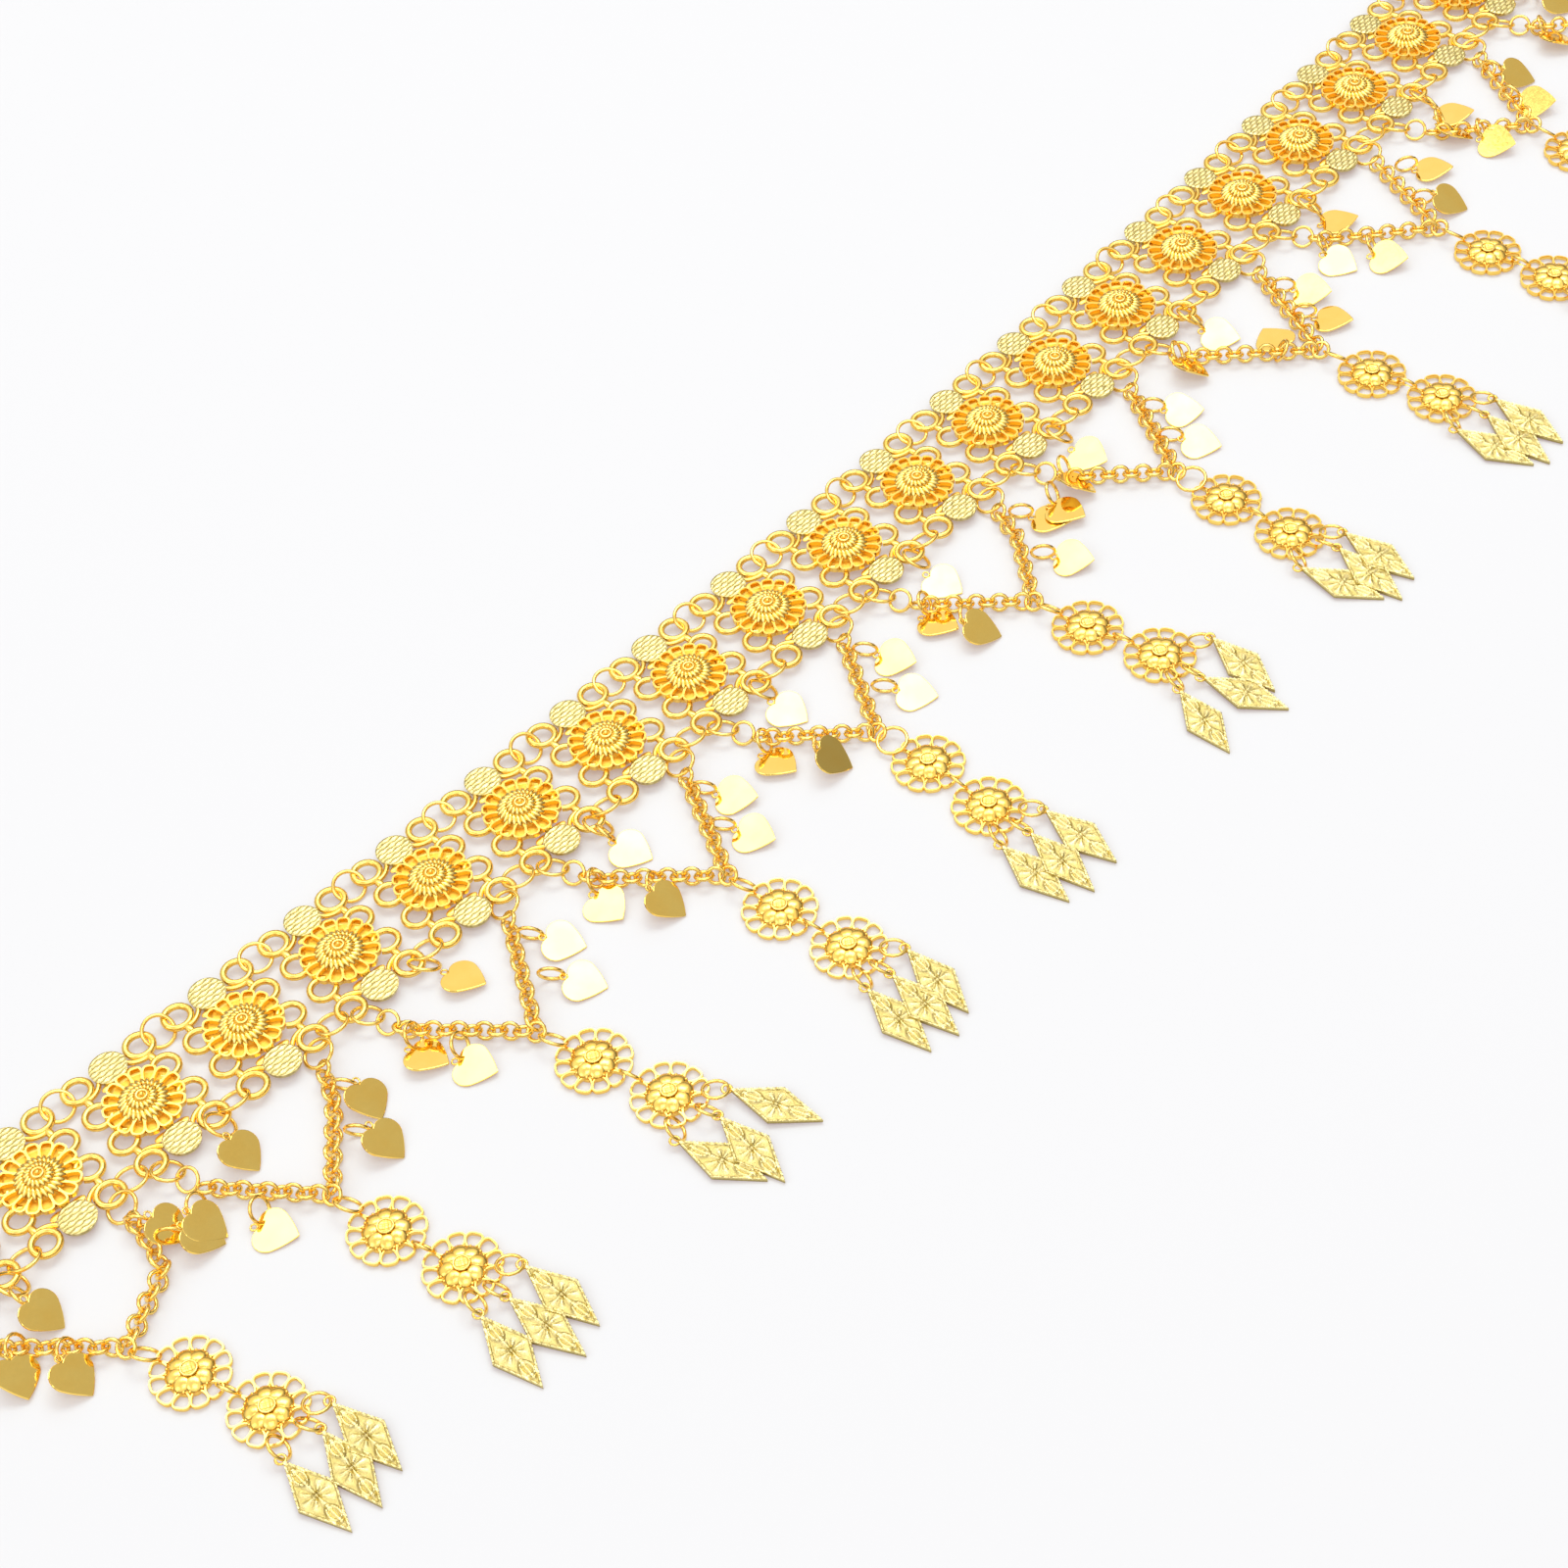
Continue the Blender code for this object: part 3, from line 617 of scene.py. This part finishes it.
def legParts(stops, side):
    # Down a leg from its eyelet; the stops are the eyelet, any bend and the vee
    start, target = stops[:2]
    direction = wayTo(start, target)
    sign = -1 if side == "left" else 1
    hang, second, link = swag["hang"], swag["second"], swag["link"][side]
    reach = swag["hangReach"]
    spot = start + direction * reach
    parts = [ringAt(hang, spot, belt["plateMid"], direction, swag["hangTilt"] * sign, 20, 8)]
    reach += hang[0]
    if side == "left":
        reach += second[0] - swag["secondOverlap"]
        spot = start + direction * reach
        parts.append(ringAt(second, spot, swag["secondHeight"], direction, swag["secondTilt"], 18, 8))
        reach += second[0]
    first = start + direction * (reach + link[0] - swag["linkOverlap"])
    height, rolls, pitch = (swag[name][side] for name in ("height", "rolls", "linkPitch"))
    return parts + chainLinks(link, [first] + stops[1:], height, rolls, pitch)


def chainLinks(link, stops, height, rolls, pitch):
    # The last stop is left for a joining link
    parts = []
    for start, end in zip(stops, stops[1:]):
        direction = wayTo(start, end)
        count = round((end - start).length / pitch)
        for index in range(count):
            spot = start.lerp(end, index / count)
            parts.append(ringAt(link, spot, height, direction, rolls[len(parts) % 2], 14, 6))
    return parts


def heartShape():
    side = [spot for bend in heart["arcs"] for spot in arc(*bend)]
    mirrored = [(-x, y) for x, y in side[::-1]]
    outline = [(0.0, heart["tip"])] + side[:-1] + mirrored
    return stamped(outline, heart["thick"], heart["rounding"])


def heartPose(unit, eye, swing, lie):
    # Turned so that the camera sees the named part of the studio in the polished face
    place = beltPlace(unitMiddle(unit))
    toCamera = (Vector(view["place"]) / metre - place @ eye.to_3d()).normalized()
    azimuth, height = heart["lies"][lie][:2]
    mirrored = turnZ(-azimuth) @ turnX(height) @ Vector((0, 1, 0))
    normal = place.to_3x3().inverted() @ (toCamera + mirrored).normalized()
    back = -swingDirection(swing).to_3d()
    back = (back - normal * back.dot(normal)).normalized()
    return Matrix((back.cross(normal), back, normal)).transposed().to_4x4()


def heartParts(unit, eye, foot, swing, lie, side):
    pose = heartPose(unit, eye, swing, lie)
    lowest = min((pose @ vertex.co).z for vertex in heartPlate.vertices)
    place = shift(eye.x, eye.y, heart["clearance"] + heart["lies"][lie][2] - lowest) @ pose
    direction = (eye - foot).normalized()
    middle = eye - direction * (heart["ring"][0] + heart["ringShort"])
    roll = heart["ringRoll"][side]
    height = heart["ring"][0] * abs(math.sin(math.radians(roll))) + heart["ring"][1]
    return [
        (heartPlate, place, mirrorGold),
        (heartLoop, place @ shift(0, heart["eyeUp"]), wireGold),
        ringAt(heart["ring"], middle, height, direction, roll),
    ]


heartPlate = heartShape()
heartLoop = wireRing(*heart["eye"], 10, 6)


def makeSwags():
    for unit, row in enumerate(units):
        vee = Vector(row["vee"])
        parts = []
        legs = {}
        for side, eyelet in swag["eyelets"].items():
            stops = [Vector(eyelet)] + [Vector(bend) for bend in row.get(side, [])] + [vee]
            if side == "left":
                share, *aside = swag["leftBend"]
                stops.insert(1, stops[0].lerp(vee, share) + Vector(aside))
            legs[side] = (stops[0], wayTo(stops[0], vee))
            parts += legParts(stops, side)
        for index, (along, across, swing, lie) in enumerate(hearts[unit][1:]):
            side = "left" if index < 2 else "right"
            eyelet, direction = legs[side]
            eye = Vector((along, across))
            foot = eyelet + direction * ((eye - eyelet).dot(direction) - heart["lead"][side])
            parts += heartParts(unit, eye, foot, swing, lie, side)
        arm = swingDirection(row["arms"][0])
        height = swag["veeHeight"]
        parts.append(ringAt(swag["link"]["right"], vee, height, arm, swag["veeRoll"], 14, 6))
        ring, roll = row.get("ring", (swag["flowerRing"], swag["flowerRingRoll"]))
        parts.append(ringAt(ring, vee + arm * swag["flowerRingReach"], height, arm, roll, 18, 8))
        name = f"swag_{unit + 1:02d}"
        finishPiece("swagPiece" + name[-2:], parts, beltPlace(unitMiddle(unit)), name)
    print("swags made")


# Charm: the heart inside the vee, on a ring from the plaque's corner eyelet

charm = {
    "eyelet": (-4.4, -11.6),
    "ringReach": 3.4,              # the ring's middle, from the eyelet's
    "ringHeight": 2.2,
    "ringRoll": -35,
    "footReach": 5.6,              # where the heart's own ring starts
    "bareWithin": 3.2,             # a heart this near has no ring of its own
}


def makeCharms():
    eyelet = Vector(charm["eyelet"])
    for unit, row in enumerate(hearts):
        along, across, swing, lie = row[0]
        eye = Vector((along, across))
        direction = wayTo(eyelet, eye)
        spot = eyelet + direction * charm["ringReach"]
        ring = ringAt(swag["hang"], spot, charm["ringHeight"], direction, charm["ringRoll"], 20, 8)
        foot = eyelet + direction * charm["footReach"]
        kept = 2 if (eye - foot).length < charm["bareWithin"] else 3
        parts = [ring] + heartParts(unit, eye, foot, swing, lie, "left")[:kept]
        name = f"charm_{unit + 1:02d}"
        finishPiece("charmPiece" + name[-2:], parts, beltPlace(unitMiddle(unit)), name)
    print("charms made")


# Tassel: two flowers of open petals round a lobed crown, and three stamped drops

flower = {
    "petals": 12,
    "petalEnds": (4.2, 7.4),
    "petalWall": (0.29, 1.9, 0.7),
    "petalSquare": 0.7,
    "lobes": 8,
    "lobe": {"reach": 2.95, "height": 1.5, "size": (1.8, 1.75, 0.75), "dip": 14},
    "crown": [(0.0, 1.7), (3.2, 1.6), (4.3, 1.3), (4.6, 1.0), (4.6, 0.1), (0.0, 0.1)],
    "cup": (1.5, 2.1),               # radius and height of the textured middle
    "cupSink": 0.3,
    "cupLift": 0.35,
    "studs": (0.14, 6.5),            # height, and turns in radians for a mm
    "cupRim": (0.22, 0.4),           # wire, and how far above the cup
    "beads": (24, 4.3, 1.3, 0.34),   # round the crown: how many, reach, height and radius
    "ring": (2.2, 0.38),
    "ringHeight": 1.6,
    "ringRoll": -60,
    "arm": 13.0,
    "span": 16.9,
}

drop = {
    "size": (8.2, 18.8),
    "thick": 0.5,
    "cells": 44,
    "ring": (2.5, 0.36),
    "ringReach": 8.7,
    "ringHeight": 1.9,
    "rolls": (-50, -45, -14),
    "arm": 11.3,
    "heights": (1.25, 0.12),         # of the first drop, and what each next one adds
    "lean": 3.5,
    "plateDown": -0.15,
    "eye": (0.95, 0.28),
    "eyePlace": (0, 0.55, 0.15),
    "border": (0.11, 40, 0.3, 0.16),   # breadth, turns of its beads, height, and the beads' own
    "star": (3.2, 3.6, 0.62),        # radius, where its rays would fade out, height
    "stud": (0.8, 0.2),              # in the star's middle: radius and height
    "leaf": {"middle": 4.7, "wide": 1.2, "long": 5.5, "size": 0.85, "soft": 0.42, "height": 0.55},
    "vein": {"half": 0.3, "from": 3.2, "to": 6.3, "soft": 0.4, "height": 0.42},
    "hollow": (0.65, 3.0),           # painted shade on its ground, from 0 to 1, and how much less for each mm up
}


def cupShape():
    # The crown's sunken middle, with small studs in rows
    radius, height = flower["cup"]
    studHeight, turns = flower["studs"]
    bm = bmesh.new()
    bmesh.ops.create_grid(bm, x_segments=16, y_segments=16, size=1.0)
    for vertex in bm.verts:
        x = radius * vertex.co.x * math.sqrt(1 - vertex.co.y ** 2 / 2)
        y = radius * vertex.co.y * math.sqrt(1 - vertex.co.x ** 2 / 2)
        away = math.hypot(x, y) / radius
        stud = studHeight * math.cos(turns * x) * math.cos(turns * y)
        sink = flower["cupSink"] * math.cos(math.pi / 2 * away)
        vertex.co = (x, y, height - sink + stud * (1 - away ** 2))
    return keepShape(bm, "cup")


def ringOf(shape, count, place):
    return [(shape, turnZ(360 * index / count) @ place, castGold) for index in range(count)]


def flowerShape():
    wall, square = flower["petalWall"], flower["petalSquare"]
    parts = petalRing(flower["petalEnds"], flower["petals"], wall, square, 0.5, 6)
    lobe = flower["lobe"]
    lying = shift(lobe["reach"], 0, lobe["height"]) @ turnY(lobe["dip"])
    parts += ringOf(roundedLobe(lobe["size"], 12, 10), flower["lobes"], lying)
    count, reach, height, radius = flower["beads"]
    parts += ringOf(roundedLobe((radius, radius, radius), 8, 6), count, shift(reach, 0, height))
    parts.append((turned(flower["crown"], 32), shift(0, 0, 0), castGold))
    parts.append((cupShape(), shift(0, 0, flower["cupLift"]), bowlGold))
    radius, height = flower["cup"]
    wire, above = flower["cupRim"]
    parts.append((wireRing(radius, wire, 24, 6), shift(0, 0, height + above), domeGold))
    return parts


def dropRelief(across, along):
    # Beaded edge, an eight-rayed star in the middle and a pointed leaf to either end
    breadth, turns, height, beadHeight = drop["border"]
    if 1 - abs(across) - abs(along) < breadth:
        beads = math.cos(turns * (across - along)) * math.cos(turns * (across + along))
        return height + beadHeight * beads
    x, y = across * drop["size"][0] / 2, along * drop["size"][1] / 2
    radius, angle = math.hypot(x, y), math.atan2(y, x)
    reach, fade, height = drop["star"]
    studRadius, studHeight = drop["stud"]
    lift = 0.0
    if radius < reach:
        ray = abs(math.cos(4 * angle)) ** 2
        lift = height * ray * (1 - radius / fade) + studHeight * max(0.0, 1 - radius / studRadius)
    leaf, vein = drop["leaf"], drop["vein"]
    around = abs(x) / leaf["wide"] + (abs(y) - leaf["middle"]) ** 2 / leaf["long"]
    edge = abs(around - leaf["size"]) / leaf["soft"]
    if edge < 1:
        lift = max(lift, leaf["height"] * (1 - edge))
    if abs(x) < vein["half"] and vein["from"] < abs(y) < vein["to"]:
        lift = max(lift, vein["height"] * (1 - abs(x) / vein["soft"]))
    return lift


def dropShape():
    bm = bmesh.new()
    cells = drop["cells"]
    bmesh.ops.create_grid(bm, x_segments=cells, y_segments=cells, size=1.0)
    wide, long = drop["size"]
    for vertex in bm.verts:
        across, along = (vertex.co.x + vertex.co.y) / 2, (vertex.co.y - vertex.co.x) / 2
        height = dropRelief(across, along)
        vertex.co = (across * wide / 2, (along - 1) * long / 2, drop["thick"] + height)
    rim = [edge for edge in bm.edges if edge.is_boundary]
    lowered = bmesh.ops.extrude_edge_only(bm, edges=rim)["geom"]
    corners = [item for item in lowered if isinstance(item, bmesh.types.BMVert)]
    for corner in corners:
        corner.co.z = 0.0
    bmesh.ops.holes_fill(bm, edges=[edge for edge in bm.edges if edge.is_boundary], sides=0)
    # Painted shade: darkest on the drop's ground, fading higher up the relief
    ground, fade = drop["hollow"]
    return withHollowShade(keepShape(bm, "drop"), lambda x, y, z: ground - fade * (z - drop["thick"]))


def makeTassels():
    flowerParts = flowerShape()
    plate = dropShape()
    eye = wireRing(*drop["eye"], 12, 6)
    for unit, row in enumerate(units):
        vee = Vector(row["vee"])
        first = vee + swingDirection(row["arms"][0]) * flower["arm"]
        second = first + swingDirection(row["arms"][1]) * flower["span"]
        parts = []
        for centre, swing in zip((first, second), row["arms"]):
            local = shift(centre.x, centre.y) @ turnZ(swing)
            parts += [(shape, local @ place, finish) for shape, place, finish in flowerParts]
        middle = (first + second) / 2
        direction = wayTo(first, second)
        height, roll = flower["ringHeight"], flower["ringRoll"]
        parts.append(ringAt(flower["ring"], middle, height, direction, roll, 16, 8))
        for index, (leave, point) in enumerate(zip(row["leave"], row["point"])):
            away = swingDirection(leave)
            spot = second + away * drop["ringReach"]
            parts.append(ringAt(drop["ring"], spot, drop["ringHeight"], away, drop["rolls"][index], 18, 8))
            hook = second + away * drop["arm"]
            lowest, step = drop["heights"]
            local = shift(hook.x, hook.y, lowest + step * index) @ turnZ(point) @ turnX(drop["lean"])
            parts.append((plate, local @ shift(0, 0, drop["plateDown"]), stampedGold))
            parts.append((eye, local @ shift(*drop["eyePlace"]), wireGold))
        name = f"tassel_{unit + 1:02d}"
        finishPiece("tasselPiece" + name[-2:], parts, beltPlace(unitMiddle(unit)), name)
    print("tassels made")


# Ends: two short chains that meet, a tail, and a hook or a ring

ends = {
    "reach": 34.0,                 # the end plaque's centre to where its two chains meet
    "tail": 42.0,                  # the ring end's tail is twice as long, to fit several waists
    "corners": {-1: (7.6, 11.6), 1: (11.85, 11.6)},   # where the hook end's and the ring end's chains start
    "ringReach": 3.3,
    "ringTilt": 24,
    "chainReach": 7.4,
    "chainHeight": 2.05,
    "chainPitch": 2.46,
    "hookWire": 0.7,
    "hookShank": (1.2, -2.0, -6.0, -10.0),
    "hookLength": 14.6,
    "hookBend": 2.4,
    "hookTip": (2.6, 5.4, 0.5),    # where the tip starts to rise, where it ends, and how far it rises
    "tipHeight": 1.75,             # of the hook and of the end ring
    "endRing": (3.0, 0.45),
    "endRingReach": 1.6,
}


def hookShape():
    length, bend = ends["hookLength"], ends["hookBend"]
    straight, tip, rise = ends["hookTip"]
    path = [(x, 0.0) for x in ends["hookShank"]]
    path += arc(-length, bend, bend, 270, 90, 11)
    path += [(-length + straight, 2 * bend), (-length + tip, 2 * bend + rise)]
    bm = bmesh.new()
    rings = []
    for index, spot in enumerate(path):
        before, after = path[max(0, index - 1)], path[min(len(path) - 1, index + 1)]
        way = wayTo(before, after)
        place = shift(*spot) @ heading(way) @ turnY(90)
        made = bmesh.ops.create_circle(bm, segments=8, radius=ends["hookWire"], matrix=place)
        rings.append([edge for edge in bm.edges if all(corner in made["verts"] for corner in edge.verts)])
    for near, far in zip(rings, rings[1:]):
        bmesh.ops.bridge_loops(bm, edges=near + far)
    bmesh.ops.holes_fill(bm, edges=[edge for edge in bm.edges if edge.is_boundary], sides=0)
    return keepShape(bm, "hook")


def endChain(start, end):
    return chainLinks(swag["link"]["left"], [start, end], ends["chainHeight"], (0, 90), ends["chainPitch"])


def bridleParts(sign):
    vee = Vector((sign * ends["reach"], 0))
    along, across = ends["corners"][sign]
    parts = []
    for side in (1, -1):
        eyelet = Vector((sign * along, side * across))
        direction = wayTo(eyelet, vee)
        spot = eyelet + direction * ends["ringReach"]
        tilt = ends["ringTilt"] * side
        parts.append(ringAt(swag["hang"], spot, belt["plateMid"], direction, tilt, 20, 8))
        parts += endChain(eyelet + direction * ends["chainReach"], vee)
    return parts, vee


def makeEnds():
    parts, vee = bridleParts(-1)
    tail = vee - Vector((ends["tail"], 0))
    parts += endChain(vee, tail)
    parts.append((hookShape(), shift(tail.x, tail.y, ends["tipHeight"]), castGold))
    place = beltPlace(-(belt["units"] - 0.5) * belt["pitch"])
    finishPiece("hookEndPiece", parts, place, "hook_end")
    parts, vee = bridleParts(1)
    tail = vee + Vector((2 * ends["tail"], 0))
    parts += endChain(vee, tail)
    spot = tail + Vector((ends["endRingReach"], 0))
    parts.append(ringAt(ends["endRing"], spot, ends["tipHeight"], Vector((1, 0)), 0, 22, 8))
    place = beltPlace((belt["units"] - 0.5) * belt["pitch"])
    finishPiece("ringEndPiece", parts, place, "ring_end")
    print("ends made")


# Camera and studio

def makeCamera():
    data = bpy.data.cameras.new("camera")
    data.lens = view["focal"]
    data.sensor_width = view["sensor"]
    data.clip_start = view["clip"]
    camera = bpy.data.objects.new("camera", data)
    bpy.context.scene.collection.objects.link(camera)
    aim = turnZ(-view["yaw"]) @ turnX(90 - view["down"]) @ turnZ(view["roll"])
    camera.matrix_world = Matrix.Translation(view["place"]) @ aim
    bpy.context.scene.camera = camera


studio = {
    "boxes": [                     # softboxes: azimuth from +Y to +X, height angle, distance, size, radiance
        {"name": "keyBox", "azimuth": 60, "height": 66, "distance": 2.2,
         "size": (1.25, 0.95), "radiance": 4.6},
        {"name": "creamBox", "azimuth": 2, "height": 60, "distance": 2.2,
         "size": (0.7, 0.7), "radiance": 3.2},
        {"name": "backBox", "azimuth": 222, "height": 68, "distance": 2.4,
         "size": (1.2, 1.0), "radiance": 2.4},
        {"name": "sideBox", "azimuth": -75, "height": 35, "distance": 2.4,
         "size": (0.9, 1.2), "radiance": 1.4},
    ],
    "boxColour": (0.96, 1.0, 1.0),
    "floorHalf": 4.0,                   # half its width, in metres
    # a greenish ground colour, to offset the pink painted glow so that the lit floor comes out even
    "floorColour": (0.426, 0.49, 0.495),
    "floorPaintedGlow": (0.305, 0.22, 0.22),   # painted glow: the floor gives off a faint pink light of its own, so that shadows stay pale and pinkish
    "floorRough": 0.7,
    "wallColour": (1.0, 0.96, 0.965),
    "walls": [                     # height, as the sine of its angle, and brightness
        (0.0, 0.1), (0.14, 0.24), (0.3, 0.48), (0.42, 0.78),
        (0.52, 1.08), (0.62, 1.2), (0.82, 1.2), (0.92, 0.94),
    ],
    "darkWall": {"azimuth": 120, "from": 0.66, "to": 0.74, "share": 0.5},
}


def makeLights():
    for box in studio["boxes"]:
        light = bpy.data.lights.new(box["name"], "AREA")
        light.shape = "RECTANGLE"
        light.size, light.size_y = box["size"]
        light.energy = box["radiance"] * math.pi * light.size * light.size_y
        light.color = studio["boxColour"]
        lamp = bpy.data.objects.new(box["name"], light)
        bpy.context.scene.collection.objects.link(lamp)
        aim = turnZ(-box["azimuth"]) @ turnX(box["height"] - 90)
        lamp.matrix_world = aim @ shift(0, 0, box["distance"])


def makeWorld():
    # Pale walls, dark low down, with a darker one to the right of the camera
    world = bpy.data.worlds.new("studio")
    bpy.context.scene.world = world
    world.use_nodes = True
    nodes = Nodes(world.node_tree)
    direction = nodes.node("ShaderNodeTexCoord", {}, {}, "Generated")
    rise = nodes.node("ShaderNodeSeparateXYZ", {}, {0: direction}, "Z")
    red, green, blue = studio["wallColour"]
    stops = [(height, (level * red, level * green, level * blue, 1)) for height, level in studio["walls"]]
    ramp = nodes.node("ShaderNodeValToRGB", {"stops": stops}, {"Fac": rise}, "Color")
    dark = studio["darkWall"]
    turn = math.radians(dark["azimuth"])
    way = (math.sin(turn), math.cos(turn), 0)
    dot = {"operation": "DOT_PRODUCT"}
    facing = nodes.node("ShaderNodeVectorMath", dot, {0: direction, 1: way}, "Value")
    shade = nodes.range(facing, dark["from"], dark["to"], 1.0, dark["share"])
    walls = nodes.node("ShaderNodeVectorMath", {"operation": "SCALE"}, {0: ramp, "Scale": shade}, "Vector")
    background = world.node_tree.nodes["Background"]
    nodes.feed(background.inputs["Color"], walls)
    nodes.feed(background.inputs["Strength"], 1.0)


def makeFloor():
    bm = bmesh.new()
    bmesh.ops.create_grid(bm, x_segments=1, y_segments=1, size=studio["floorHalf"])
    mesh = bpy.data.meshes.new("floor")
    bm.to_mesh(mesh)
    bm.free()
    floor = bpy.data.objects.new("floor", mesh)
    bpy.context.scene.collection.objects.link(floor)
    finish = Finish("paleFloor")
    finish.set(Base_Color=(*studio["floorColour"], 1), Roughness=studio["floorRough"])
    # Painted glow, which lifts and tints the shadows on the floor
    finish.set(Emission_Color=(*studio["floorPaintedGlow"], 1), Emission_Strength=1.0)
    mesh.materials.append(finish.material)


makePlaques()
makeSwags()
makeCharms()
makeTassels()
makeEnds()
makeCamera()
makeLights()
makeWorld()
makeFloor()
bpy.context.scene.view_settings.view_transform = "Standard"
